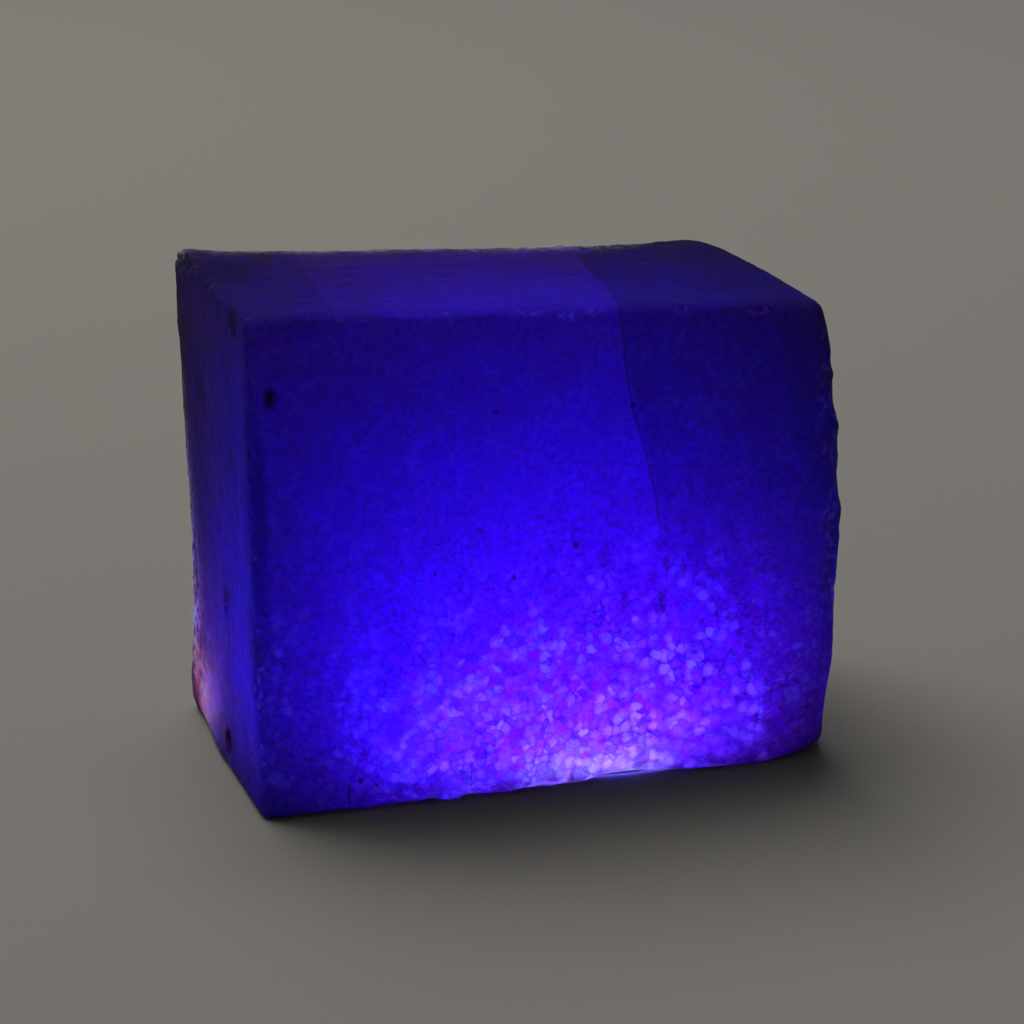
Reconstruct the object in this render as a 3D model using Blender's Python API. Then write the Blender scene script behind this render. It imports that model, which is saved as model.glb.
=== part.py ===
"""A rough blue sapphire: one sawn block of translucent stone, as it stands on a table.

The block has six saw-cut faces that are not quite square to each other, edges that are rounded
and chipped, a top corner that is worn away, a healed fracture that steps the surface a little,
and a few pits. It is one piece of stone, so it is one object.

Run with: blender --background --python part.py
Metres, +Z up. X runs along the wide front face, Y from front to back. The origin is the middle
of the block's footprint, on the surface that it stands on.
"""

import bmesh
import bpy
import numpy as np

MM = 0.001

# Driving dimensions of the block, before its edges are rounded
FRONT_WIDTH = 47.3 * MM
DEPTH = 27.5 * MM
HEIGHT = 38.2 * MM

# Each sawn face: a point on it, and the direction it faces. The small numbers are how far the
# saw cuts are out of square, as slopes. The base starts a little low, and is then cut flat.
SAWN_FACES = {
    "front": ((0, -0.507 * DEPTH, HEIGHT / 2), (0.0152, -1, 0.002)),
    "back": ((0, 0.493 * DEPTH, HEIGHT / 2), (0.0215, 1, 0)),
    "left": ((-FRONT_WIDTH / 2, 0, HEIGHT / 2), (-1, -0.0162, 0.0017)),
    "right": ((FRONT_WIDTH / 2, 0, HEIGHT / 2), (1, -0.019, 0.0302)),
    "top": ((0, 0, HEIGHT), (0.0461, 0.025, 1)),
    "base": ((0, 0, -0.2 * MM), (0, 0, -1)),
}

# Flats that wear has cut off the block's right end
WORN_FLATS = {
    "top right back corner": ((22.1 * MM, 12.7 * MM, 35.7 * MM), (0.62, 0.28, 0.62)),
    "top right edge": ((23.0 * MM, 0, 34.4 * MM), (1, 0, 0.19)),
}

EDGE_ROUNDING = 0.5 * MM
HEART = (0, 0, 0.5 * HEIGHT)

# Broad swellings and hollows: place, reach and how far the surface stands out there
SWELLINGS = (
    ((23.2 * MM, -13.5 * MM, 24.0 * MM), 7.0 * MM, 0.72 * MM),
    ((23.6 * MM, -13.5 * MM, 11.5 * MM), 4.6 * MM, -0.16 * MM),
    ((24.0 * MM, -14.0 * MM, 2.2 * MM), 4.6 * MM, -1.05 * MM),
    ((-23.5 * MM, 13.0 * MM, 33.5 * MM), 4.6 * MM, 0.30 * MM),
    ((-23.6 * MM, 13.0 * MM, 39.5 * MM), 2.4 * MM, 0.22 * MM),
    ((-23.5 * MM, 13.0 * MM, 10.8 * MM), 5.6 * MM, -0.12 * MM),
    ((-23.5 * MM, 13.0 * MM, 2.0 * MM), 4.0 * MM, 0.30 * MM),
    ((-23.6 * MM, 0, 0), 9.5 * MM, 0.34 * MM),
    ((-4.0 * MM, -13.9 * MM, 0), 5.0 * MM, 0.30 * MM),
    ((-12.0 * MM, -13.9 * MM, 0), 6.0 * MM, 0.12 * MM),
    ((6.0 * MM, -13.9 * MM, 0), 3.6 * MM, -0.42 * MM),
    ((11.5 * MM, 13.0 * MM, 37.8 * MM), 3.4 * MM, 0.14 * MM),
    ((19.0 * MM, 12.5 * MM, 37.0 * MM), 3.4 * MM, 0.34 * MM),
    ((-9.0 * MM, 13.6 * MM, 27.0 * MM), 3.4 * MM, -0.36 * MM),
    ((12.5 * MM, 13.4 * MM, 10.0 * MM), 4.4 * MM, -0.34 * MM),
    ((23.8 * MM, 3.0 * MM, 17.0 * MM), 4.6 * MM, -0.40 * MM),
)

# Knocks along each edge: the two faces that meet, the faces at its ends, how many, deepest bite
EDGE_KNOCKS = (
    ("front", "top", ("left", "right"), 16, 0.16 * MM),
    ("front", "base", ("left", "right"), 22, 0.24 * MM),
    ("front", "left", ("base", "top"), 14, 0.14 * MM),
    ("front", "right", ("base", "top"), 20, 0.22 * MM),
    ("left", "top", ("front", "back"), 9, 0.20 * MM),
    ("left", "base", ("front", "back"), 10, 0.12 * MM),
    ("left", "back", ("base", "top"), 20, 0.26 * MM),
    ("back", "top", ("left", "right"), 20, 0.22 * MM),
    ("back", "base", ("left", "right"), 20, 0.60 * MM),
    ("back", "right", ("base", "top"), 18, 0.60 * MM),
    ("right", "top", ("front", "back"), 8, 0.45 * MM),
    ("right", "base", ("front", "back"), 11, 0.50 * MM),
)
KNOCK_SEED = 23
KNOCK_RADII = (1.4 * MM, 5.5 * MM)

# Single scoops out of the surface: a place on it, the way out of the stone, radius and depth
SCOOPS = (
    ((24.7 * MM, -14.1 * MM, 29.3 * MM), (0.7, -0.7, 0), 1.2 * MM, 0.72 * MM),
    ((24.3 * MM, -14.1 * MM, 16.3 * MM), (0.7, -0.7, 0), 1.6 * MM, 0.35 * MM),
    ((-21.7 * MM, -14.2 * MM, 33.3 * MM), (0, -1, 0), 0.8 * MM, 0.35 * MM),
    ((-23.4 * MM, -3.3 * MM, 13.4 * MM), (-1, 0, 0), 1.2 * MM, 0.30 * MM),
    ((-23.5 * MM, -3.0 * MM, 2.6 * MM), (-1, 0, 0), 0.9 * MM, 0.35 * MM),
    ((-8.4 * MM, 13.6 * MM, 26.2 * MM), (0.3, 1, 0.2), 1.5 * MM, 0.42 * MM),
    ((13.6 * MM, 13.4 * MM, 9.2 * MM), (-0.2, 1, 0.3), 0.9 * MM, 0.40 * MM),
    ((23.6 * MM, -5.5 * MM, 27.0 * MM), (1, 0, 0), 0.9 * MM, 0.32 * MM),
    ((23.9 * MM, 4.4 * MM, 15.2 * MM), (1, 0.3, -0.2), 1.3 * MM, 0.40 * MM),
)

UNDULATION = 0.05 * MM
LEDGE_DROP = 0.16 * MM

# Grid laid over the block to find its surface, then the share of its triangles that is kept
GRID_CELL = 0.46 * MM
TRIANGLES_KEPT = 7000
STONE_COLOUR = (0.045, 0.012, 0.46, 1.0)


def unit(vector):
    vector = np.asarray(vector, float)
    return vector / np.linalg.norm(vector)


def corner(*faces):
    """The point where three sawn faces meet."""
    normals = np.array([unit(SAWN_FACES[face][1]) for face in faces])
    reach = [normal @ np.array(SAWN_FACES[face][0]) for normal, face in zip(normals, faces)]
    return np.linalg.solve(normals, reach)


def rounded_hull(points):
    """Distance outside the flat faces, with their edges blended into each other."""
    flats = list(SAWN_FACES.values()) + list(WORN_FLATS.values())
    normals = np.array([unit(direction) for _, direction in flats])
    reach = (normals * np.array([place for place, _ in flats])).sum(1)
    outside = points @ normals.T - reach
    most = outside.max(1)
    blend = np.exp((outside - most[:, None]) / EDGE_ROUNDING).sum(1)
    return most + EDGE_ROUNDING * np.log(blend)


def ripple(points, wavelength, waves, seed):
    """A smooth random height from about -1 to 1, made of plane waves near one wavelength."""
    rng = np.random.default_rng(seed)
    directions = rng.normal(size=(waves, 3))
    directions /= np.linalg.norm(directions, axis=1)[:, None]
    pitch = 2 * np.pi / (wavelength * rng.uniform(0.7, 1.5, waves))
    phase = rng.uniform(0, 2 * np.pi, waves)
    total = np.sin(points @ (directions * pitch[:, None]).T + phase).sum(1)
    return total / np.sqrt(waves)


def knocks():
    """Centres and radii of the balls that bite the chips and scoops out of the block."""
    rng = np.random.default_rng(KNOCK_SEED)
    centres, radii = [], []
    edge_inset = EDGE_ROUNDING * np.log(2) * np.sqrt(2)
    for first, second, ends, count, deepest in EDGE_KNOCKS:
        start = corner(first, second, ends[0])
        stop = corner(first, second, ends[1])
        out = unit(unit(SAWN_FACES[first][1]) + unit(SAWN_FACES[second][1]))
        across = unit(np.cross(out, stop - start))
        for n in range(count):
            along = (n + rng.uniform(0.1, 0.9)) / count
            bite = deepest * rng.uniform(0.25, 1.0)
            radius = rng.uniform(*KNOCK_RADII)
            lean = unit(out + 0.55 * rng.uniform(-1, 1) * across)
            place = start + along * (stop - start) - out * edge_inset
            centres.append(place + lean * (radius - bite))
            radii.append(radius)
    for place, out, radius, depth in SCOOPS:
        centres.append(np.array(place) + unit(out) * (radius - depth))
        radii.append(radius)
    return np.array(centres), np.array(radii)


def fracture_offset(points):
    """How far right of the healed fracture each point lies. The fracture leans to the right as
    it goes down and back, and wavers a little."""
    waver = -0.25 * MM * np.sin((35.3 * MM - points[:, 2]) / (2.5 * MM))
    waver += 0.12 * MM * np.sin((points[:, 1] + DEPTH / 2) / (3.1 * MM))
    lean = 0.185 * (38.5 * MM - points[:, 2]) + 0.133 * (points[:, 1] + DEPTH / 2)
    return points[:, 0] - (5.2 * MM + lean + waver)


def ledge(points):
    """The step down to the right of the fracture. It fades to the right, and down the block."""
    beyond = fracture_offset(points)
    step = 1 / (1 + np.exp(-beyond / (0.12 * MM)))
    fade_right = np.exp(-np.maximum(beyond, 0) / (5 * MM))
    fade_down = np.clip((points[:, 2] - 16 * MM) / (12 * MM), 0, 1)
    return LEDGE_DROP * step * fade_right * fade_down


def stone_field(points, balls):
    """Below zero inside the stone, zero on its surface and above zero outside, in metres."""
    field = rounded_hull(points)
    for place, reach, height in SWELLINGS:
        away = np.linalg.norm(points - np.array(place), axis=1) / reach
        field -= height * np.exp(-(away**2))
    field += UNDULATION * ripple(points, 11 * MM, 24, seed=5)
    field += 0.4 * UNDULATION * ripple(points, 3.5 * MM, 32, seed=6)
    field += ledge(points)
    for centre, radius in zip(*balls):
        field = np.maximum(field, radius - np.linalg.norm(points - centre, axis=1))
    return field


def box_grid(bm, counts):
    """The surface of a cube from -1 to 1 as a grid of quads, with counts cells along each axis."""
    made = {}

    def vertex(cell):
        if cell not in made:
            made[cell] = bm.verts.new([2 * i / n - 1 for i, n in zip(cell, counts)])
        return made[cell]

    for axis in range(3):
        first, second = (axis + 1) % 3, (axis + 2) % 3
        for side in (0, counts[axis]):
            for i in range(counts[first]):
                for j in range(counts[second]):
                    ring = [(i, j), (i + 1, j), (i + 1, j + 1), (i, j + 1)]
                    if side == 0:
                        ring.reverse()
                    cells = []
                    for a, b in ring:
                        cell = [0, 0, 0]
                        cell[axis], cell[first], cell[second] = side, a, b
                        cells.append(tuple(cell))
                    bm.faces.new([vertex(cell) for cell in cells])


def find_surface(rays, balls):
    """Distance from the heart of the block to its surface along each ray, by halving."""
    heart = np.array(HEART)
    near = np.zeros(len(rays))
    far = np.full(len(rays), FRONT_WIDTH)
    for _ in range(24):
        middle = (near + far) / 2
        outside = stone_field(heart + rays * middle[:, None], balls) > 0
        far = np.where(outside, middle, far)
        near = np.where(outside, near, middle)
    return near


def dense_block():
    """The block's surface on an even grid, fine enough to hold every chip."""
    half = np.array((FRONT_WIDTH, DEPTH, HEIGHT)) / 2
    counts = [int(round(2 * h / GRID_CELL)) for h in half]
    bm = bmesh.new()
    box_grid(bm, counts)
    directions = np.array([v.co for v in bm.verts]) * half
    rays = directions / np.linalg.norm(directions, axis=1)[:, None]
    surface = np.array(HEART) + rays * find_surface(rays, knocks())[:, None]
    for v, place in zip(bm.verts, surface):
        v.co = place
    mesh = bpy.data.meshes.new("dense_block")
    bm.to_mesh(mesh)
    bm.free()
    return mesh


def thinned(mesh):
    """The mesh with few triangles on its flats and many on its chips."""
    obj = bpy.data.objects.new("thinning", mesh)
    bpy.context.scene.collection.objects.link(obj)
    decimate = obj.modifiers.new("fewer triangles", "DECIMATE")
    decimate.ratio = TRIANGLES_KEPT / (2 * len(mesh.polygons))
    bpy.context.view_layer.update()
    evaluated = obj.evaluated_get(bpy.context.evaluated_depsgraph_get())
    result = bpy.data.meshes.new_from_object(evaluated)
    bpy.data.objects.remove(obj)
    bpy.data.meshes.remove(mesh)
    return result


def cut_base(mesh):
    """Trims the underside to one flat face at z = 0."""
    bm = bmesh.new()
    bm.from_mesh(mesh)
    everything = bm.verts[:] + bm.edges[:] + bm.faces[:]
    cut = bmesh.ops.bisect_plane(
        bm,
        geom=everything,
        plane_co=(0, 0, 0),
        plane_no=(0, 0, 1),
        clear_inner=True,
    )
    rim = [e for e in cut["geom_cut"] if isinstance(e, bmesh.types.BMEdge)]
    bmesh.ops.holes_fill(bm, edges=rim, sides=0)
    for v in bm.verts:
        if v.co.z < 0.001 * MM:
            v.co.z = 0.0
    bmesh.ops.triangulate(bm, faces=[f for f in bm.faces if len(f.verts) > 3])
    bmesh.ops.recalc_face_normals(bm, faces=bm.faces[:])
    bm.to_mesh(mesh)
    bm.free()


def centre_footprint(mesh):
    """Moves the mesh so that the origin is the middle of its footprint."""
    places = np.array([v.co for v in mesh.vertices])
    middle = (places.min(0) + places.max(0)) / 2
    for v in mesh.vertices:
        v.co.x -= middle[0]
        v.co.y -= middle[1]


def stone_material():
    """Deep violet-blue stone with a sawn, slightly waxy surface."""
    material = bpy.data.materials.new("sapphire")
    material.use_nodes = True
    shader = material.node_tree.nodes["Principled BSDF"]
    shader.inputs["Base Color"].default_value = STONE_COLOUR
    shader.inputs["Roughness"].default_value = 0.5
    shader.inputs["Metallic"].default_value = 0.0
    return material


def make_sapphire():
    mesh = thinned(dense_block())
    cut_base(mesh)
    centre_footprint(mesh)
    mesh.name = "sapphire_block"
    mesh.materials.append(stone_material())
    stone = bpy.data.objects.new("sapphire_block", mesh)
    bpy.context.scene.collection.objects.link(stone)
    return stone


def main():
    for obj in list(bpy.data.objects):
        bpy.data.objects.remove(obj)
    make_sapphire()


main()
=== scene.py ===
"""The looks of a rough blue sapphire: one sawn block of translucent stone, lit from beneath."""

import math
from types import SimpleNamespace

import bpy
import numpy as np
from bpy.props import FloatProperty, FloatVectorProperty, PointerProperty
from bpy.types import Operator, Panel, PropertyGroup
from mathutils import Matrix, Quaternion, Vector


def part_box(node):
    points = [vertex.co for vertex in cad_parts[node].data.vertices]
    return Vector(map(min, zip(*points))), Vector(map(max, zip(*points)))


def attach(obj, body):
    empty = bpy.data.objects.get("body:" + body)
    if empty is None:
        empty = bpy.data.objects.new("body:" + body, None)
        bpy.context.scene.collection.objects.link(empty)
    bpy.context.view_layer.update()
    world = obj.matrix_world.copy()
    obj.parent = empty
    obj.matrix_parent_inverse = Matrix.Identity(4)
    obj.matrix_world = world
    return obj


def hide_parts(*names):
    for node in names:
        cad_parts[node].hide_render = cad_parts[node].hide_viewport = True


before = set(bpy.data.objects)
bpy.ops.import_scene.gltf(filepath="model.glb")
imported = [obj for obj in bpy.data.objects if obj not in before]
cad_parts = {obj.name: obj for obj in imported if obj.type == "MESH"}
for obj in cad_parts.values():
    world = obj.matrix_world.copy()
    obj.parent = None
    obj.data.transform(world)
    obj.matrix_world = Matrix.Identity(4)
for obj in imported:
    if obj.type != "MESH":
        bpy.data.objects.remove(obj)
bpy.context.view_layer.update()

bl_info = {
    "name": "Rough sapphire block",
    "version": (1, 0, 0),
    "blender": (4, 5, 0),
    "location": "View3D > Sidebar > Sapphire",
    "description": "Builds a sawn block of rough blue sapphire and the stage that it stands on",
    "category": "Add Mesh",
}

MM = 0.001
STONE_NODE = "sapphire_block"


def linear(code):
    """An sRGB hex colour as linear red, green and blue."""
    parts = [int(code[i : i + 2], 16) / 255 for i in (1, 3, 5)]
    return tuple(c / 12.92 if c <= 0.04045 else ((c + 0.055) / 1.055) ** 2.4 for c in parts)


# The block's shape. These are the same named values as in the part's solid.
FRONT_WIDTH = 47.3 * MM
DEPTH = 27.5 * MM
HEIGHT = 38.2 * MM

SAWN_FACES = {
    "front": ((0, -0.507 * DEPTH, HEIGHT / 2), (0.0152, -1, 0.002)),
    "back": ((0, 0.493 * DEPTH, HEIGHT / 2), (0.0215, 1, 0)),
    "left": ((-FRONT_WIDTH / 2, 0, HEIGHT / 2), (-1, -0.0162, 0.0017)),
    "right": ((FRONT_WIDTH / 2, 0, HEIGHT / 2), (1, -0.019, 0.0302)),
    "top": ((0, 0, HEIGHT), (0.0461, 0.025, 1)),
    "base": ((0, 0, -0.2 * MM), (0, 0, -1)),
}

WORN_FLATS = {
    "top right back corner": ((22.1 * MM, 12.7 * MM, 35.7 * MM), (0.62, 0.28, 0.62)),
    "top right edge": ((23.0 * MM, 0, 34.4 * MM), (1, 0, 0.19)),
}

EDGE_ROUNDING = 0.5 * MM
HEART = np.array((0, 0, 0.5 * HEIGHT))

SWELLINGS = (
    ((23.2 * MM, -13.5 * MM, 24.0 * MM), 7.0 * MM, 0.72 * MM),
    ((23.6 * MM, -13.5 * MM, 11.5 * MM), 4.6 * MM, -0.16 * MM),
    ((24.0 * MM, -14.0 * MM, 2.2 * MM), 4.6 * MM, -1.05 * MM),
    ((-23.5 * MM, 13.0 * MM, 33.5 * MM), 4.6 * MM, 0.30 * MM),
    ((-23.6 * MM, 13.0 * MM, 39.5 * MM), 2.4 * MM, 0.22 * MM),
    ((-23.5 * MM, 13.0 * MM, 10.8 * MM), 5.6 * MM, -0.12 * MM),
    ((-23.5 * MM, 13.0 * MM, 2.0 * MM), 4.0 * MM, 0.30 * MM),
    ((-23.6 * MM, 0, 0), 9.5 * MM, 0.34 * MM),
    ((-4.0 * MM, -13.9 * MM, 0), 5.0 * MM, 0.30 * MM),
    ((-12.0 * MM, -13.9 * MM, 0), 6.0 * MM, 0.12 * MM),
    ((6.0 * MM, -13.9 * MM, 0), 3.6 * MM, -0.42 * MM),
    ((11.5 * MM, 13.0 * MM, 37.8 * MM), 3.4 * MM, 0.14 * MM),
    ((19.0 * MM, 12.5 * MM, 37.0 * MM), 3.4 * MM, 0.34 * MM),
    ((-9.0 * MM, 13.6 * MM, 27.0 * MM), 3.4 * MM, -0.36 * MM),
    ((12.5 * MM, 13.4 * MM, 10.0 * MM), 4.4 * MM, -0.34 * MM),
    ((23.8 * MM, 3.0 * MM, 17.0 * MM), 4.6 * MM, -0.40 * MM),
)

EDGE_KNOCKS = (
    ("front", "top", ("left", "right"), 16, 0.16 * MM),
    ("front", "base", ("left", "right"), 22, 0.24 * MM),
    ("front", "left", ("base", "top"), 14, 0.14 * MM),
    ("front", "right", ("base", "top"), 20, 0.22 * MM),
    ("left", "top", ("front", "back"), 9, 0.20 * MM),
    ("left", "base", ("front", "back"), 10, 0.12 * MM),
    ("left", "back", ("base", "top"), 20, 0.26 * MM),
    ("back", "top", ("left", "right"), 20, 0.22 * MM),
    ("back", "base", ("left", "right"), 20, 0.60 * MM),
    ("back", "right", ("base", "top"), 18, 0.60 * MM),
    ("right", "top", ("front", "back"), 8, 0.45 * MM),
    ("right", "base", ("front", "back"), 11, 0.50 * MM),
)
KNOCK_SEED = 23
KNOCK_RADII = (1.4 * MM, 5.5 * MM)
KNOCK_LEAN = 0.55

SCOOPS = (
    ((24.7 * MM, -14.1 * MM, 29.3 * MM), (0.7, -0.7, 0), 1.2 * MM, 0.72 * MM),
    ((24.3 * MM, -14.1 * MM, 16.3 * MM), (0.7, -0.7, 0), 1.6 * MM, 0.35 * MM),
    ((-21.7 * MM, -14.2 * MM, 33.3 * MM), (0, -1, 0), 0.8 * MM, 0.35 * MM),
    ((-23.4 * MM, -3.3 * MM, 13.4 * MM), (-1, 0, 0), 1.2 * MM, 0.30 * MM),
    ((-23.5 * MM, -3.0 * MM, 2.6 * MM), (-1, 0, 0), 0.9 * MM, 0.35 * MM),
    ((-8.4 * MM, 13.6 * MM, 26.2 * MM), (0.3, 1, 0.2), 1.5 * MM, 0.42 * MM),
    ((13.6 * MM, 13.4 * MM, 9.2 * MM), (-0.2, 1, 0.3), 0.9 * MM, 0.40 * MM),
    ((23.6 * MM, -5.5 * MM, 27.0 * MM), (1, 0, 0), 0.9 * MM, 0.32 * MM),
    ((23.9 * MM, 4.4 * MM, 15.2 * MM), (1, 0.3, -0.2), 1.3 * MM, 0.40 * MM),
)

UNDULATION = 0.05 * MM
LEDGE_DROP = 0.16 * MM

# Dirt in pits, and soft bands of painted shade along the left front edge: place and radii, in millimetres,
# and how dark each is
DIRT_AND_EDGE_SHADE_SPOTS = (
    ((-21.7, -14.2, 33.3), (0.62, 1, 1.0), 1.0),
    ((6.4, -13.8, 30.5), (0.28, 1, 0.30), 0.9),
    ((-4.5, -14.0, 30.9), (0.22, 1, 0.24), 0.7),
    ((1.7, -13.9, 19.8), (0.32, 1, 0.32), 0.8),
    ((-9.2, -14.1, 20.9), (0.18, 1, 0.18), 0.8),
    ((-5.8, -14.0, 21.7), (0.22, 1, 0.18), 0.6),
    ((-3.2, -14.0, 17.7), (0.20, 1, 0.22), 0.8),
    ((-9.4, -14.1, 18.5), (0.16, 1, 0.20), 0.8),
    ((-15.7, -14.2, 2.5), (0.26, 1, 0.22), 0.8),
    ((-14.5, -14.2, 2.0), (0.22, 1, 0.20), 0.8),
    ((21.2, -13.7, 4.3), (0.38, 1, 0.42), 0.8),
    ((-16.6, -14.2, 1.4), (0.14, 1, 1.2), 0.7),
    ((-6.9, -14.1, 1.9), (0.12, 1, 1.4), 0.7),
    # Painted shade: a soft dark band along the left front edge
    ((-22.9, -14.2, 24.5), (0.9, 2, 8), 0.45),
    ((-23.6, -3.4, 14.6), (1, 1.3, 1.3), 0.9),
    ((-23.6, -3.9, 11.6), (1, 0.8, 2.4), 0.5),
    ((-23.6, -3.0, 2.6), (1, 1.6, 1.4), 1.0),
    ((-23.5, -9.2, 38.0), (1.2, 2.2, 1.1), 0.8),
    ((-23.7, 5.4, 29.3), (1, 2.2, 1.8), 0.5),
    # Painted shade: a second soft dark band along the left front edge
    ((-23.6, -13.6, 21.0), (1.6, 2.8, 15), 0.4),
    ((10.9, 13.8, 39.2), (0.5, 1.2, 0.5), 0.8),
    ((-23.5, -8.0, 27.0), (1, 1.6, 6.0), 0.3),
    ((-21.6, 4.0, 38.9), (2.6, 6.0, 1), 0.35),
    ((-13.2, -1.9, 38.9), (0.55, 0.30, 1), 0.9),
    ((-14.0, -3.5, 38.9), (0.45, 0.22, 1), 0.8),
    ((-11.5, 4.3, 38.6), (0.30, 0.40, 1), 0.8),
)

# Middle of the violet zone of painted glow, low in the front of the block near the front lamp
PAINTED_GLOW_ZONE = (2.5 * MM, -14 * MM, 4 * MM)

# Detail that only the looks carry
GRID_CELL = 0.31 * MM
GRAIN_RELIEF = 0.012 * MM
FULL_CHIP_DEPTH = 0.1 * MM
SHARP_ANGLE = math.radians(50)

# Low waves over the sawn faces: their length, how many are added up, their height and their seed
FACE_WAVES = (
    (11 * MM, 24, UNDULATION, 5),
    (3.5 * MM, 32, 0.4 * UNDULATION, 6),
    (1.1 * MM, 40, GRAIN_RELIEF, 7),
)

# How often the search for the surface halves its range, and how often it then follows the slope
HALVINGS = 9
SLOPE_STEPS = 4

# Sizes of the patterns in the stone. An outline wave is its length and its height in grains.
OUTLINE_WAVES = ((1.1 * MM, 1.1), (0.3 * MM, 0.55))
CRACKS_PER_GRAIN = 2.3
OPEN_JOINT_PATCH = 1.9 * MM
MILKY_PATCH = 3.5 * MM
SKIN_MOTTLE = 0.45 * MM
SKIN_BLOTCH = 2.4 * MM
FLAKE = 0.7 * MM
PAINTED_GLOW_STRETCH = 3 * MM
SKIN_PIT = 0.4 * MM
GRIT = 0.2 * MM
CORUNDUM_IOR = 1.76


def unit(vector):
    vector = np.asarray(vector, float)
    return vector / np.linalg.norm(vector)


def corner(*faces):
    """The point where three sawn faces meet."""
    normals = np.array([unit(SAWN_FACES[face][1]) for face in faces])
    reach = [normal @ np.array(SAWN_FACES[face][0]) for normal, face in zip(normals, faces)]
    return np.linalg.solve(normals, reach)


def rounded_hull(points):
    """Distance outside the flat faces, with their edges blended into each other."""
    flats = list(SAWN_FACES.values()) + list(WORN_FLATS.values())
    normals = np.array([unit(direction) for _, direction in flats])
    reach = (normals * np.array([place for place, _ in flats])).sum(1)
    outside = points @ normals.T - reach
    most = outside.max(1)
    blend = np.exp((outside - most[:, None]) / EDGE_ROUNDING).sum(1)
    return most + EDGE_ROUNDING * np.log(blend)


def ripple(points, wavelength, waves, seed):
    """A smooth random height from about -1 to 1, made of plane waves near one wavelength."""
    rng = np.random.default_rng(seed)
    directions = rng.normal(size=(waves, 3))
    directions /= np.linalg.norm(directions, axis=1)[:, None]
    pitch = 2 * np.pi / (wavelength * rng.uniform(0.7, 1.5, waves))
    phase = rng.uniform(0, 2 * np.pi, waves)
    total = np.zeros(len(points))
    for direction, turn, start in zip(directions, pitch, phase):
        total += np.sin(points @ (direction * turn) + start)
    return total / np.sqrt(waves)


def knocks():
    """Centres and radii of the balls that bite the chips and scoops out of the block."""
    rng = np.random.default_rng(KNOCK_SEED)
    centres, radii = [], []
    edge_inset = EDGE_ROUNDING * np.log(2) * np.sqrt(2)
    for first, second, ends, count, deepest in EDGE_KNOCKS:
        start = corner(first, second, ends[0])
        stop = corner(first, second, ends[1])
        out = unit(unit(SAWN_FACES[first][1]) + unit(SAWN_FACES[second][1]))
        across = unit(np.cross(out, stop - start))
        for n in range(count):
            along = (n + rng.uniform(0.1, 0.9)) / count
            bite = deepest * rng.uniform(0.25, 1.0)
            radius = rng.uniform(*KNOCK_RADII)
            lean = unit(out + KNOCK_LEAN * rng.uniform(-1, 1) * across)
            place = start + along * (stop - start) - out * edge_inset
            centres.append(place + lean * (radius - bite))
            radii.append(radius)
    for place, out, radius, depth in SCOOPS:
        centres.append(np.array(place) + unit(out) * (radius - depth))
        radii.append(radius)
    return np.array(centres), np.array(radii)


def fracture_offset(points):
    """How far right of the healed fracture each point lies."""
    waver = -0.25 * MM * np.sin((35.3 * MM - points[:, 2]) / (2.5 * MM))
    waver += 0.12 * MM * np.sin((points[:, 1] + DEPTH / 2) / (3.1 * MM))
    lean = 0.185 * (38.5 * MM - points[:, 2]) + 0.133 * (points[:, 1] + DEPTH / 2)
    return points[:, 0] - (5.2 * MM + lean + waver)


def ledge(points):
    """The step down to the right of the fracture. It fades to the right, and down the block."""
    beyond = fracture_offset(points)
    step = 1 / (1 + np.exp(-beyond / (0.12 * MM)))
    fade_right = np.exp(-np.maximum(beyond, 0) / (5 * MM))
    fade_down = np.clip((points[:, 2] - 16 * MM) / (12 * MM), 0, 1)
    return LEDGE_DROP * step * fade_right * fade_down


def sawn_field(points):
    """Below zero inside the unchipped stone and above zero outside, in metres."""
    field = rounded_hull(points)
    for place, reach, height in SWELLINGS:
        away = np.linalg.norm(points - np.array(place), axis=1) / reach
        field -= height * np.exp(-(away**2))
    for length, count, height, seed in FACE_WAVES:
        field += height * ripple(points, length, count, seed)
    return field + ledge(points)


def box_grid(counts):
    """The surface of a cube from -1 to 1 as a grid of quads: vertex places and face corners."""
    cells, quads, start = [], [], 0
    for axis in range(3):
        first, second = (axis + 1) % 3, (axis + 2) % 3
        across, along = counts[first] + 1, counts[second] + 1
        for side in (0, counts[axis]):
            grid = np.zeros((across, along, 3), int)
            grid[..., axis] = side
            grid[..., first] = np.arange(across)[:, None]
            grid[..., second] = np.arange(along)[None, :]
            index = start + np.arange(across * along).reshape(across, along)
            ring = [index[:-1, :-1], index[1:, :-1], index[1:, 1:], index[:-1, 1:]]
            if side == 0:
                ring.reverse()
            quads.append(np.stack(ring, -1).reshape(-1, 4))
            cells.append(grid.reshape(-1, 3))
            start += across * along
    cells, merged = np.unique(np.concatenate(cells), axis=0, return_inverse=True)
    quads = merged.reshape(-1)[np.concatenate(quads)]
    return 2 * cells / np.array(counts) - 1, quads


def find_sawn_surface(rays):
    """Distance from the heart to the unchipped surface along each ray, by halving and secants."""
    reach = np.full(len(rays), 0.0)
    far = np.full(len(rays), 0.75 * FRONT_WIDTH)
    for _ in range(HALVINGS):
        middle = (reach + far) / 2
        outside = rounded_hull(HEART + rays * middle[:, None]) > 0
        far = np.where(outside, middle, far)
        reach = np.where(outside, reach, middle)
    last = reach
    last_field = sawn_field(HEART + rays * last[:, None])
    here = reach - last_field
    for _ in range(SLOPE_STEPS):
        here_field = sawn_field(HEART + rays * here[:, None])
        change = here_field - last_field
        slope = np.where(np.abs(change) > 1e-12, (here - last) / np.where(change == 0, 1, change), 1)
        last, last_field = here, here_field
        here = here - here_field * np.clip(slope, 0.8, 2.5)
    return here


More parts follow.
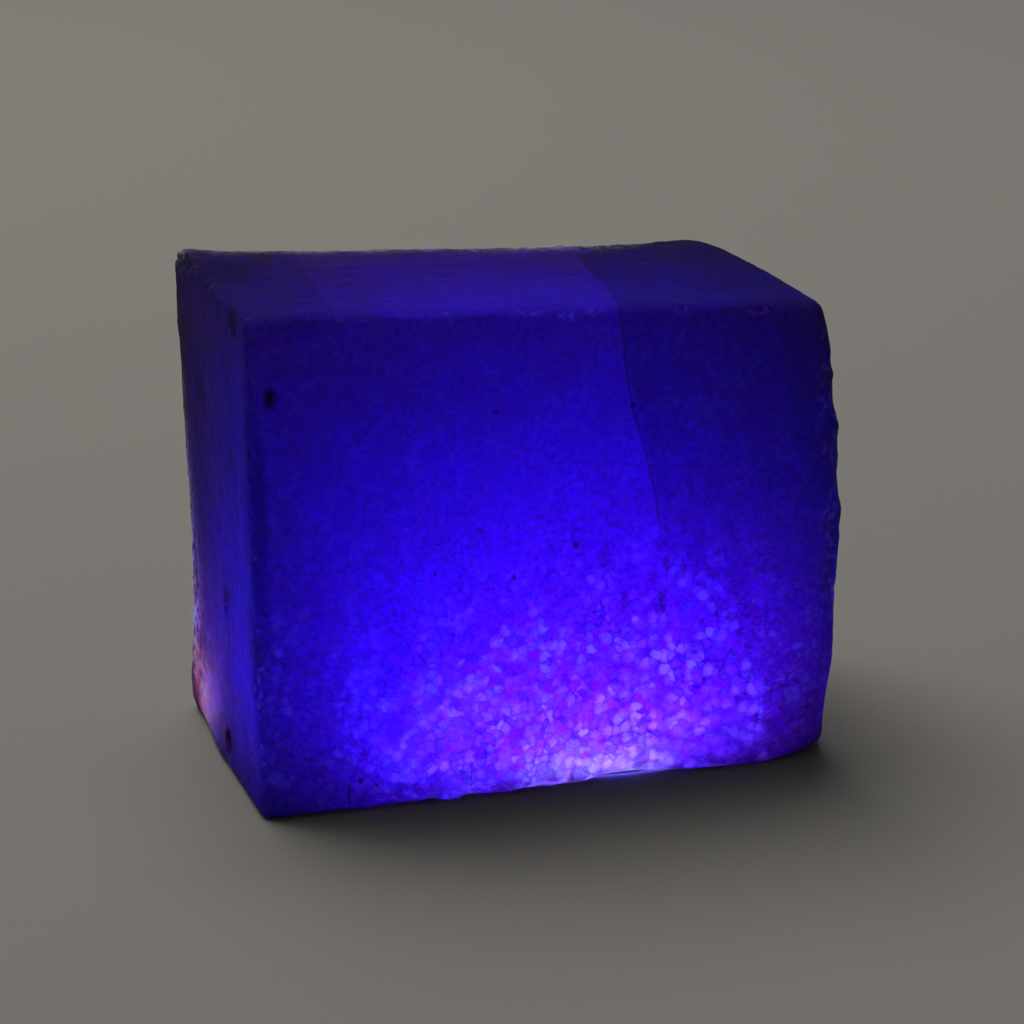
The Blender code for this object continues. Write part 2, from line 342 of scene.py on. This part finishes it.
def bite_chips(rays, reach):
    """Shortens each ray to where it meets a chip's ball, and says how deep the chip is there."""
    bitten = reach.copy()
    for centre, radius in zip(*knocks()):
        offset = centre - HEART
        along = rays @ offset
        inside = along**2 - (offset @ offset - radius**2)
        entry = along - np.sqrt(np.maximum(inside, 0))
        hit = (inside > 0) & (entry > 0) & (entry < bitten)
        bitten = np.where(hit, entry, bitten)
    return bitten, reach - bitten


def stone_surface():
    """Places and quads of the stone, fitted to the solid's box, and the marks on each vertex."""
    half = np.array((FRONT_WIDTH, DEPTH, HEIGHT)) / 2
    counts = [int(round(2 * h / GRID_CELL)) for h in half]
    directions, quads = box_grid(counts)
    directions = directions * half
    rays = directions / np.linalg.norm(directions, axis=1)[:, None]
    reach, depth = bite_chips(rays, find_sawn_surface(rays))
    down = np.minimum(rays[:, 2], -1e-9)
    floor_reach = np.where(rays[:, 2] < 0, -HEART[2] / down, np.inf)
    depth = np.where(floor_reach < reach, 0, depth)
    places = HEART + rays * np.minimum(reach, floor_reach)[:, None]
    low, high = (np.array(end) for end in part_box(STONE_NODE))
    least, most = places.min(0), places.max(0)
    fitted = low + (places - least) * (high - low) / (most - least)
    marks = {
        "chip": np.clip(depth / FULL_CHIP_DEPTH, 0, 1),
        "fracture": fracture_offset(places),
        "painted_rim_glow_mark": painted_rim_glow_marks(places),
    }
    return fitted, quads, marks


def painted_rim_glow_marks(places):
    """Painted rim glow: one along the left and top edges of the back, where thin flakes are painted pale
    and let more light through.
    """

    def depth_below(face):
        place, direction = SAWN_FACES[face]
        return np.maximum((np.array(place) - places) @ unit(direction), 0)

    back = depth_below("back")
    height = places[:, 2]
    reach = np.interp(height, (4 * MM, 22 * MM), (2.2 * MM, 1.0 * MM))
    left = 2.6 * np.exp(-back / reach - depth_below("left") / (0.5 * MM))
    left *= np.interp(height, (2 * MM, 5 * MM, 9 * MM, 18 * MM, 30 * MM), (0.05, 0.4, 1, 1, 0))
    top = 2.4 * np.exp(-back / (0.8 * MM) - depth_below("top") / (0.4 * MM))
    top *= np.clip((16 * MM - places[:, 0]) / (4 * MM), 0, 1)
    return np.clip(np.maximum(left, top), 0, 1)


def new_object(name, data):
    piece = bpy.data.objects.new(name, data)
    bpy.context.scene.collection.objects.link(piece)
    return piece


def live(sockets):
    """The sockets that a node uses with the settings that it has."""
    return [socket for socket in sockets if socket.enabled]


def add(tree, kind, settings, *values):
    """Adds a node, sets its properties, and fills its live inputs in order.

    A value that is a node stands for that node's first live output, and an output is linked.
    """
    made = tree.nodes.new("ShaderNode" + kind)
    for name, setting in settings.items():
        setattr(made, name, setting)
    for socket, value in zip(live(made.inputs), values):
        if isinstance(value, bpy.types.Node):
            value = live(value.outputs)[0]
        if isinstance(value, bpy.types.NodeSocket):
            tree.links.new(value, socket)
        else:
            socket.default_value = value
    return made


# Settings of nodes. A smooth node goes from one value to another as its input goes over a range.
PLAIN = {}
PLUS = {"operation": "ADD"}
MINUS = {"operation": "SUBTRACT"}
TIMES = {"operation": "MULTIPLY"}
LARGER = {"operation": "MAXIMUM"}
UNSIGNED = {"operation": "ABSOLUTE"}
LENGTH = {"operation": "LENGTH"}
SMOOTH = {"interpolation_type": "SMOOTHSTEP"}
COLOURS = {"data_type": "RGBA"}


def product(tree, *values):
    """All the values multiplied together."""
    result = values[0]
    for value in values[1:]:
        result = add(tree, "Math", TIMES, result, value)
    return result


def warped(tree, place, size, amount):
    """The place, moved about by up to half the amount in waves of the given size."""
    waves = add(tree, "TexNoise", PLAIN, place, 1 / size, 2.0)
    shift = add(tree, "VectorMath", MINUS, waves.outputs["Color"], (0.5, 0.5, 0.5))
    shift = add(tree, "VectorMath", TIMES, shift, (amount, amount, amount))
    return add(tree, "VectorMath", PLUS, place, shift)


def lessened(tree, value, darkness, most):
    """The value times one minus most where the darkness is one."""
    return product(tree, value, add(tree, "Math", MINUS, 1.0, product(tree, darkness, most)))


def raised(tree, value, brightness, most):
    """The value times one plus most where the brightness is one."""
    return product(tree, value, add(tree, "Math", PLUS, product(tree, brightness, most), 1.0))


def dirt_spots(tree, place):
    """One where dirt sits in a pit or painted shade lies along the left front edge, zero elsewhere."""
    ragged = warped(tree, place, 0.35 * MM, 0.45 * MM)
    dirt = 0.0
    for spot, radii, darkness in DIRT_AND_EDGE_SHADE_SPOTS:
        away = add(tree, "VectorMath", MINUS, ragged, tuple(v * MM for v in spot))
        away = add(tree, "VectorMath", TIMES, away, tuple(1 / (r * MM) for r in radii))
        away = add(tree, "VectorMath", LENGTH, away)
        dark = add(tree, "MapRange", SMOOTH, away, 1.2, 0.4, 0.0, darkness)
        dirt = add(tree, "Math", LARGER, dark, dirt)
    return dirt


def saw_streaks(tree, place, up, sideways):
    """Streaks that the saw left: along the width on top, upright and fainter on the ends."""
    along_top = add(tree, "VectorMath", TIMES, place, (0.1, 1, 1))
    top = add(tree, "TexNoise", PLAIN, along_top, 1 / (0.35 * MM), 3.0)
    top = add(tree, "MapRange", SMOOTH, top, 0.3, 0.7)
    top = product(tree, top, add(tree, "MapRange", SMOOTH, up, 0.85, 0.98))
    upright = add(tree, "VectorMath", TIMES, place, (1, 1, 0.1))
    end = add(tree, "TexNoise", PLAIN, upright, 1 / (0.5 * MM), 3.0)
    end = add(tree, "MapRange", SMOOTH, end, 0.3, 0.7)
    end = product(tree, end, add(tree, "MapRange", SMOOTH, sideways, 0.9, 0.99, 0.0, 0.4))
    return add(tree, "Math", PLUS, top, end)


def fracture_marks(tree, place, height):
    """The fracture's thin line, and painted shadow on the far side of both fractures."""
    beyond = add(tree, "Attribute", {"attribute_name": "fracture"}).outputs["Fac"]
    line = add(tree, "MapRange", SMOOTH, add(tree, "Math", UNSIGNED, beyond), 0.14 * MM, 0.02 * MM)
    line = product(tree, line, add(tree, "MapRange", SMOOTH, height, 16 * MM, 24 * MM))
    # Painted shadow: high in the block the stone beyond the fracture is darkened, as if the fracture kept
    # the lamps' light from it
    dull = add(tree, "MapRange", SMOOTH, beyond, -0.05 * MM, 0.12 * MM)
    dull = product(tree, dull, add(tree, "MapRange", SMOOTH, height, 13 * MM, 24 * MM))
    # Painted shadow beyond the second fracture, on the top near the left end
    along = add(tree, "SeparateXYZ", PLAIN, warped(tree, place, 3 * MM, 0.6 * MM)).outputs
    slant = product(tree, along[1], 0.078)
    corner_side = add(tree, "Math", MINUS, slant, add(tree, "Math", PLUS, along[0], 15.5 * MM))
    corner_dull = add(tree, "MapRange", SMOOTH, corner_side, -0.1 * MM, 0.2 * MM)
    corner_height = add(tree, "MapRange", SMOOTH, height, 37.0 * MM, 38.6 * MM)
    corner_dull = product(tree, corner_dull, corner_height, 0.7)
    return line, add(tree, "Math", LARGER, dull, corner_dull)


def cell_edges(tree, place, size):
    """One on the thin edges between cells of about the given size."""
    cells = add(tree, "TexVoronoi", {"feature": "DISTANCE_TO_EDGE"}, place, 1 / size)
    return add(tree, "MapRange", SMOOTH, cells, 0.10, 0.0)


def add_grains(tree, seen, grain_size):
    """Grains with wavy outlines, joints that are open here and there, and fine cracks."""
    wavy = seen.place
    for wave, height in OUTLINE_WAVES:
        wavy = warped(tree, wavy, wave, height * grain_size)
    grains = add(tree, "TexVoronoi", PLAIN, wavy, 1 / grain_size)
    tones = add(tree, "SeparateColor", PLAIN, grains.outputs["Color"]).outputs
    seen.grain_tone = tones[1]
    open_patches = add(tree, "TexNoise", PLAIN, seen.place, 1 / OPEN_JOINT_PATCH, 3.0)
    open_patches = add(tree, "MapRange", SMOOTH, open_patches, 0.40, 0.62, 0.12, 1.0)
    joint = product(tree, cell_edges(tree, wavy, grain_size), open_patches)
    cracks = product(tree, cell_edges(tree, wavy, grain_size / CRACKS_PER_GRAIN), 0.35)
    seen.joint = product(tree, add(tree, "Math", LARGER, joint, cracks), seen.contrast)

    # Some grains are milky, most of all in their middles, in loose patches low in the block
    middles = add(tree, "MapRange", SMOOTH, grains.outputs["Distance"], 0.95, 0.25)
    patches = add(tree, "TexNoise", PLAIN, seen.place, 1 / MILKY_PATCH, 2.0)
    patches = add(tree, "MapRange", SMOOTH, patches, 0.3, 0.62, 0.15, 1.0)
    low = add(tree, "MapRange", SMOOTH, seen.height, 25 * MM, 8 * MM, 0.15, 1.0)
    seen.milky = product(tree, tones[0], middles, patches, low, seen.central)


def patterns(tree, look):
    """The places, directions and patterns that the stone's skin and its clear inside share."""
    coordinates = add(tree, "TexCoord", PLAIN).outputs
    seen = SimpleNamespace(place=coordinates["Object"])
    facing = add(tree, "SeparateXYZ", PLAIN, coordinates["Normal"]).outputs
    seen.up = facing[2]
    seen.height = add(tree, "SeparateXYZ", PLAIN, seen.place).outputs[2]
    seen.away = add(tree, "VectorMath", MINUS, seen.place, PAINTED_GLOW_ZONE)
    seen.away = add(tree, "VectorMath", LENGTH, seen.away)

    # The mosaic is strongest low in the middle of the front, and on the ends
    sideways = add(tree, "Math", UNSIGNED, facing[0])
    seen.central = add(tree, "MapRange", SMOOTH, seen.away, 12 * MM, 21 * MM, 1.0, 0.5)
    low_down = add(tree, "MapRange", SMOOTH, seen.height, 30 * MM, 10 * MM, 0.3, 1.0)
    low_down = product(tree, low_down, seen.central)
    seen.ends = add(tree, "MapRange", SMOOTH, sideways, 0.7, 0.9, 0.0, 0.8)
    seen.contrast = add(tree, "Math", LARGER, low_down, seen.ends)
    add_grains(tree, seen, look.grain_size)

    seen.dirt = dirt_spots(tree, seen.place)
    seen.streaks = saw_streaks(tree, seen.place, seen.up, sideways)
    seen.line, seen.dull = fracture_marks(tree, seen.place, seen.height)

    # Painted rim glow: thin flakes along the back edges are painted pale in stretches, and chips are pale
    # where they are flaky
    flakes = add(tree, "TexNoise", PLAIN, seen.place, 1 / FLAKE, 3.0)
    thin = add(tree, "Attribute", {"attribute_name": "painted_rim_glow_mark"}).outputs["Fac"]
    thin = product(tree, thin, add(tree, "MapRange", SMOOTH, flakes, 0.38, 0.56, 0.15, 1.0))
    stretches = add(tree, "TexNoise", PLAIN, seen.place, 1 / PAINTED_GLOW_STRETCH, 1.0)
    stretches = add(tree, "MapRange", SMOOTH, stretches, 0.32, 0.52, 0.3, 1.0)
    seen.glowing = product(tree, thin, stretches)
    chip = add(tree, "Attribute", {"attribute_name": "chip"}).outputs["Fac"]
    pale_chips = product(tree, chip, add(tree, "MapRange", SMOOTH, flakes, 0.5, 0.7), 0.08)
    seen.broken = add(tree, "Math", LARGER, pale_chips, seen.glowing)
    return seen


def frosted_skin(tree, skin, seen, look):
    """The sawn skin. It has no gloss, because its pits are too coarse to mirror anything."""
    tone = add(tree, "TexNoise", PLAIN, seen.place, 1 / SKIN_MOTTLE, 3.0)
    tone = add(tree, "MapRange", SMOOTH, tone, 0.3, 0.7)
    tone = lessened(tree, tone, seen.streaks, 0.6)
    blotches = add(tree, "TexNoise", PLAIN, seen.place, 1 / SKIN_BLOTCH, 3.0)
    blotches = add(tree, "MapRange", SMOOTH, blotches, 0.42, 0.6)
    tone = lessened(tree, tone, blotches, 0.4)
    dirt_colour = (*look.dirt_colour, 1)
    colour = add(tree, "Mix", COLOURS, tone, (*look.deep_colour, 1), (*look.pale_colour, 1))
    colour = add(tree, "Mix", COLOURS, product(tree, seen.joint, 0.5), colour, dirt_colour)
    # Chips, and the painted rim glow along the back edges, take the pale chip colour
    colour = add(tree, "Mix", COLOURS, seen.broken, colour, (*look.chip_and_glow_colour, 1))
    # Dirt, the fracture line and the painted edge shade take the dirt colour
    dirty = add(tree, "Math", LARGER, seen.dirt, product(tree, seen.line, 0.5))
    colour = add(tree, "Mix", COLOURS, dirty, colour, dirt_colour)
    tree.links.new(live(colour.outputs)[0], skin.inputs["Base Color"])
    skin.inputs["Roughness"].default_value = 0.7
    skin.inputs["IOR"].default_value = CORUNDUM_IOR
    skin.inputs["Specular IOR Level"].default_value = 0.02
    pits = add(tree, "TexNoise", PLAIN, seen.place, 1 / SKIN_PIT, 3.0)
    bump = add(tree, "Bump", PLAIN, 0.4, 0.05 * MM)
    tree.links.new(pits.outputs[0], bump.inputs["Height"])
    tree.links.new(bump.outputs[0], skin.inputs["Normal"])


def clear_inside(tree, seen, look):
    """The clear stone beneath. Its coarse skin sends light into it in all directions."""
    clear = add(tree, "BsdfPrincipled", {"subsurface_method": "RANDOM_WALK"})
    # Painted glow: light from within takes a redder violet colour near the front lamp, standing in for the
    # look of the hottest glow
    zone = add(tree, "MapRange", SMOOTH, seen.away, 4 * MM, 27 * MM)
    colour = add(tree, "Mix", COLOURS, zone, (*look.painted_glow_colour, 1), (*look.clear_colour, 1))
    # Milky grains, and the painted rim glow, take the milky colour
    pale = add(tree, "Math", LARGER, seen.milky, seen.glowing)
    colour = add(tree, "Mix", COLOURS, pale, colour, (*look.milky_and_glow_colour, 1))
    tree.links.new(live(colour.outputs)[0], clear.inputs["Base Color"])
    clear.inputs["Subsurface Weight"].default_value = 1.0
    clear.inputs["Subsurface Radius"].default_value = look.light_reach
    clear.inputs["Subsurface Scale"].default_value = 1.0
    clear.inputs["IOR"].default_value = CORUNDUM_IOR
    clear.inputs["Roughness"].default_value = 1.0
    return clear


def clear_share(tree, seen, look):
    """The share of the surface's light that comes from within the stone."""
    grit = add(tree, "TexNoise", PLAIN, seen.place, 1 / GRIT, 2.0)
    grit = add(tree, "MapRange", SMOOTH, grit, 0.3, 0.7, -0.18, 0.18)
    uneven = add(tree, "MapRange", SMOOTH, seen.grain_tone, 0.0, 1.0, -0.3, 0.3)
    uneven = product(tree, add(tree, "Math", PLUS, uneven, grit), seen.contrast)
    uneven = add(tree, "Math", PLUS, uneven, 0.97)
    milky = add(tree, "MapRange", SMOOTH, seen.milky, 0.0, 0.6, 0.9, 1.5)
    share = product(tree, uneven, look.clarity, milky)
    # Painted shade: towards the base the share from within drops to 0.62, so the lamps' glow there is
    # dimmer; the ends keep theirs
    painted_base_shade = add(tree, "MapRange", SMOOTH, seen.height, 6 * MM, 30 * MM, 0.62, 1.0)
    share = product(tree, share, add(tree, "Math", LARGER, painted_base_shade, product(tree, seen.ends, 1.3)))
    # Painted rim glow: along the back edges the share from within is raised up to seventeen times
    share = raised(tree, share, seen.glowing, 16.0)
    share = lessened(tree, share, seen.joint, 0.75)
    share = lessened(tree, share, seen.streaks, 0.3)

    # Painted light: up-facing surfaces take a larger share from within, so the top face is brighter. The
    # painted shadow beyond a fracture is also deeper there.
    upward = add(tree, "MapRange", SMOOTH, seen.up, 0.5, 0.9)
    dulling = add(tree, "Math", PLUS, product(tree, upward, 0.14), 0.35)
    share = lessened(tree, share, seen.dull, dulling)
    share = raised(tree, share, upward, 0.7)
    share = lessened(tree, share, seen.line, 0.5)
    # Dirt, and the painted shade along the left front edge, dim the light from within
    return lessened(tree, share, seen.dirt, 0.95)


def sawn_sapphire(look):
    """Rough corundum, sawn with a diamond blade and left unpolished.

    The saw leaves a frosted skin that scatters light, so the face is nearly matte. Beneath it the
    stone is clear enough to carry light for centimetres, and blue the furthest. It is a mass of
    small grains, so it reads as a mosaic of paler and deeper cells with dark joints.
    """
    material = bpy.data.materials.new("sawn_sapphire")
    material.use_nodes = True
    tree = material.node_tree
    skin = tree.nodes["Principled BSDF"]
    seen = patterns(tree, look)
    frosted_skin(tree, skin, seen, look)
    clear = clear_inside(tree, seen, look)
    both = add(tree, "MixShader", PLAIN, clear_share(tree, seen, look), skin, clear)
    tree.links.new(both.outputs[0], tree.nodes["Material Output"].inputs["Surface"])
    return material


class StoneLook(PropertyGroup):
    """Sizes and colours of the stone."""

    grain_size: FloatProperty(
        name="Grain size",
        description="Width of the stone's grains",
        default=0.75 * MM,
        min=0.1 * MM,
        precision=5,
        unit="LENGTH",
    )
    deep_colour: FloatVectorProperty(
        name="Deep colour",
        description="Colour of the darkest sawn skin",
        default=linear("#121a4b"),
        min=0,
        max=1,
        subtype="COLOR",
    )
    pale_colour: FloatVectorProperty(
        name="Pale colour",
        description="Colour of the palest sawn skin",
        default=linear("#1b2567"),
        min=0,
        max=1,
        subtype="COLOR",
    )
    # Also painted along the back edges as a rim glow
    chip_and_glow_colour: FloatVectorProperty(
        name="Chip colour",
        description="Colour of freshly broken stone in the chips",
        default=linear("#e2d0e4"),
        min=0,
        max=1,
        subtype="COLOR",
    )
    dirt_colour: FloatVectorProperty(
        name="Dirt colour",
        description="Colour of the dirt in pits and joints",
        default=linear("#140f1e"),
        min=0,
        max=1,
        subtype="COLOR",
    )
    light_reach: FloatVectorProperty(
        name="Light reach",
        description="How far red, green and blue light spread in the stone",
        default=(0.055, 0.06, 0.18),
        min=0,
        precision=4,
        unit="LENGTH",
    )
    clear_colour: FloatVectorProperty(
        name="Clear colour",
        description="Colour of the light that comes through clear grains",
        default=linear("#bc1ee1"),
        min=0,
        max=1,
        subtype="COLOR",
    )
    # Painted glow: stands in for the look of the hottest glow near the front lamp
    painted_glow_colour: FloatVectorProperty(
        name="Violet colour",
        description="Colour of the light that comes through clear grains in the violet zone",
        default=linear("#c81e6c"),
        min=0,
        max=1,
        subtype="COLOR",
    )
    # Also the colour of the painted rim glow along the back edges
    milky_and_glow_colour: FloatVectorProperty(
        name="Milky colour",
        description="Colour of the light that comes through milky grains",
        default=linear("#bcecea"),
        min=0,
        max=1,
        subtype="COLOR",
    )
    clarity: FloatProperty(
        name="Clarity",
        description="Share of the surface's light that comes from within the stone",
        default=0.06,
        min=0,
        max=1,
        subtype="FACTOR",
    )


class StageLook(PropertyGroup):
    """Sizes and colours of the floor and the lights."""

    floor_colour: FloatVectorProperty(
        name="Floor colour",
        description="Colour of the plain floor",
        default=linear("#cdc8bf"),
        min=0,
        max=1,
        subtype="COLOR",
    )
    lamp_power: FloatProperty(
        name="Lamp power",
        description="Power of the lamp under the stone",
        default=0.476,
        min=0,
        unit="POWER",
    )
    lamp_colour: FloatVectorProperty(
        name="Lamp colour",
        description="Colour of the lamp under the stone",
        default=linear("#5e30ff"),
        min=0,
        max=1,
        subtype="COLOR",
    )
    front_power: FloatProperty(
        name="Front lamp power",
        description="Power of the small lamp under the front edge of the stone",
        default=0.006,
        min=0,
        unit="POWER",
    )
    front_colour: FloatVectorProperty(
        name="Front lamp colour",
        description="Colour of the small lamp under the front edge of the stone",
        default=linear("#9589ff"),
        min=0,
        max=1,
        subtype="COLOR",
    )
    corner_power: FloatProperty(
        name="Corner lamp power",
        description="Power of the small lamp under the left back corner of the stone",
        default=0.003,
        min=0,
        unit="POWER",
    )
    corner_colour: FloatVectorProperty(
        name="Corner lamp colour",
        description="Colour of the small lamp under the left back corner of the stone",
        default=linear("#ffdaed"),
        min=0,
        max=1,
        subtype="COLOR",
    )


class SAPPHIRE_OT_stone(Operator):
    """Builds the sawn stone block with its chipped edges"""

    bl_idname = "sapphire.stone"
    bl_label = "Stone"

    def execute(self, context):
        places, quads, marks = stone_surface()
        mesh = bpy.data.meshes.new("stone")
        mesh.from_pydata(places.tolist(), [], quads.tolist())
        mesh.set_sharp_from_angle(angle=SHARP_ANGLE)
        mesh.shade_smooth()
        for name, values in marks.items():
            mark = mesh.attributes.new(name, "FLOAT", "POINT")
            mark.data.foreach_set("value", values.astype(np.float32))
        mesh.materials.append(sawn_sapphire(context.scene.stone_look))
        stone = new_object("stone", mesh)
        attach(stone, "root")
        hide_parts(STONE_NODE)
        return {"FINISHED"}


# The camera: where it looks, its direction, distance, offset, tilt and lens
LOOKS_AT = (-1.034 * MM, 0.044 * MM, 19.87 * MM)
AZIMUTH = -0.2556
ELEVATION = 0.2909
DISTANCE = 264.144 * MM
OFFSET = (1.3472 * MM, -1.13 * MM)
ROLL = 0.0128
LENS = 115.2

# The floor, and the window in it that lets the lamps' light into the stone
FLOOR_HALF_WIDTH = 2.0
FLOOR_LEVEL = -0.1 * MM
WINDOW_CENTRE = (-1.8 * MM, -0.1 * MM)
WINDOW_SIZE = (41 * MM, 24 * MM)

# The lamps under the window, and the soft lamp high behind the stone
LAMP_DROP = 0.4 * MM
LAMP_CENTRE = (3.2 * MM, 0)
LAMP_SIZE = (26 * MM, 15 * MM)
FRONT_LAMP_CENTRE = (4.0 * MM, -11.0 * MM)
FRONT_LAMP_SIZE = (11 * MM, 2.0 * MM)
CORNER_LAMP_CENTRE = (-21.1 * MM, 10.8 * MM)
CORNER_LAMP_SIZE = (2 * MM, 2 * MM)
KEY_PLACE = (-0.14, 0.38, 0.8)
KEY_TARGET = (0, 0.12, 0)
KEY_SIZE = (0.7, 0.7)
KEY_POWER = 2.8

# The even light of the room
STUDIO_COLOUR = linear("#bcbcbc")
STUDIO_STRENGTH = 0.06


def make_floor(look):
    """A wide plain floor, with a small window that the stone covers."""
    middle, half = np.array(WINDOW_CENTRE), np.array(WINDOW_SIZE) / 2
    signs = ((-1, -1), (1, -1), (1, 1), (-1, 1))
    outer = [(FLOOR_HALF_WIDTH * x, FLOOR_HALF_WIDTH * y, FLOOR_LEVEL) for x, y in signs]
    inner = [(*(middle + half * sign), FLOOR_LEVEL) for sign in signs]
    faces = [(i, (i + 1) % 4, 4 + (i + 1) % 4, 4 + i) for i in range(4)]
    mesh = bpy.data.meshes.new("floor")
    mesh.from_pydata([tuple(map(float, place)) for place in outer + inner], [], faces)
    material = bpy.data.materials.new("matte_paper")
    material.use_nodes = True
    shader = material.node_tree.nodes["Principled BSDF"]
    shader.inputs["Base Color"].default_value = (*look.floor_colour, 1)
    shader.inputs["Roughness"].default_value = 0.9
    shader.inputs["Specular IOR Level"].default_value = 0.2
    mesh.materials.append(material)
    new_object("floor", mesh)


def area_light(name, place, target, size, power, colour=(1, 1, 1)):
    light = bpy.data.lights.new(name, "AREA")
    light.shape = "RECTANGLE"
    light.size, light.size_y = size
    light.energy = power
    light.color = colour
    lamp = new_object(name, light)
    lamp.location = place
    lamp.rotation_euler = (Vector(target) - Vector(place)).to_track_quat("-Z", "Y").to_euler()


def make_camera():
    back = Vector(
        (
            math.sin(AZIMUTH) * math.cos(ELEVATION),
            -math.cos(AZIMUTH) * math.cos(ELEVATION),
            math.sin(ELEVATION),
        )
    )
    right = Vector((math.cos(AZIMUTH), math.sin(AZIMUTH), 0))
    data = bpy.data.cameras.new("camera")
    data.sensor_width = 36
    data.lens = LENS
    data.clip_start = 0.01
    camera = new_object("camera", data)
    camera.location = Vector(LOOKS_AT) + back * DISTANCE + right * OFFSET[0] + back.cross(right) * OFFSET[1]
    camera.rotation_mode = "QUATERNION"
    camera.rotation_quaternion = (-back).to_track_quat("-Z", "Y") @ Quaternion((0, 0, 1), -ROLL)
    bpy.context.scene.camera = camera


class SAPPHIRE_OT_stage(Operator):
    """Builds the floor, the lights and the camera"""

    bl_idname = "sapphire.stage"
    bl_label = "Stage"

    def execute(self, context):
        look = context.scene.stage_look
        make_floor(look)
        for name, place, size, power, colour in (
            ("lamp", LAMP_CENTRE, LAMP_SIZE, look.lamp_power, look.lamp_colour),
            ("front_lamp", FRONT_LAMP_CENTRE, FRONT_LAMP_SIZE, look.front_power, look.front_colour),
            ("corner_lamp", CORNER_LAMP_CENTRE, CORNER_LAMP_SIZE, look.corner_power, look.corner_colour),
        ):
            under = (*place, FLOOR_LEVEL - LAMP_DROP)
            area_light(name, under, (*place, 1), size, power, colour)
        area_light("key", KEY_PLACE, KEY_TARGET, KEY_SIZE, KEY_POWER)
        world = bpy.data.worlds.new("studio")
        world.use_nodes = True
        background = world.node_tree.nodes["Background"]
        background.inputs["Color"].default_value = (*STUDIO_COLOUR, 1)
        background.inputs["Strength"].default_value = STUDIO_STRENGTH
        context.scene.world = world
        context.scene.view_settings.view_transform = "Standard"
        make_camera()
        return {"FINISHED"}


class SAPPHIRE_PT_panel(Panel):
    """Lists the pieces and their settings"""

    bl_label = "Rough sapphire block"
    bl_idname = "SAPPHIRE_PT_panel"
    bl_space_type = "VIEW_3D"
    bl_region_type = "UI"
    bl_category = "Sapphire"

    def draw(self, context):
        column = self.layout.column()
        for look, operator in (("stone_look", SAPPHIRE_OT_stone), ("stage_look", SAPPHIRE_OT_stage)):
            settings = getattr(context.scene, look)
            for name in settings.__annotations__:
                column.prop(settings, name)
            column.operator(operator.bl_idname)


CLASSES = (StoneLook, StageLook, SAPPHIRE_OT_stone, SAPPHIRE_OT_stage, SAPPHIRE_PT_panel)


def register():
    for cls in CLASSES:
        bpy.utils.register_class(cls)
    bpy.types.Scene.stone_look = PointerProperty(type=StoneLook)
    bpy.types.Scene.stage_look = PointerProperty(type=StageLook)


def unregister():
    del bpy.types.Scene.stage_look
    del bpy.types.Scene.stone_look
    for cls in reversed(CLASSES):
        bpy.utils.unregister_class(cls)


def main():
    register()
    bpy.ops.sapphire.stone()
    bpy.ops.sapphire.stage()


if __name__ == "__main__":
    main()
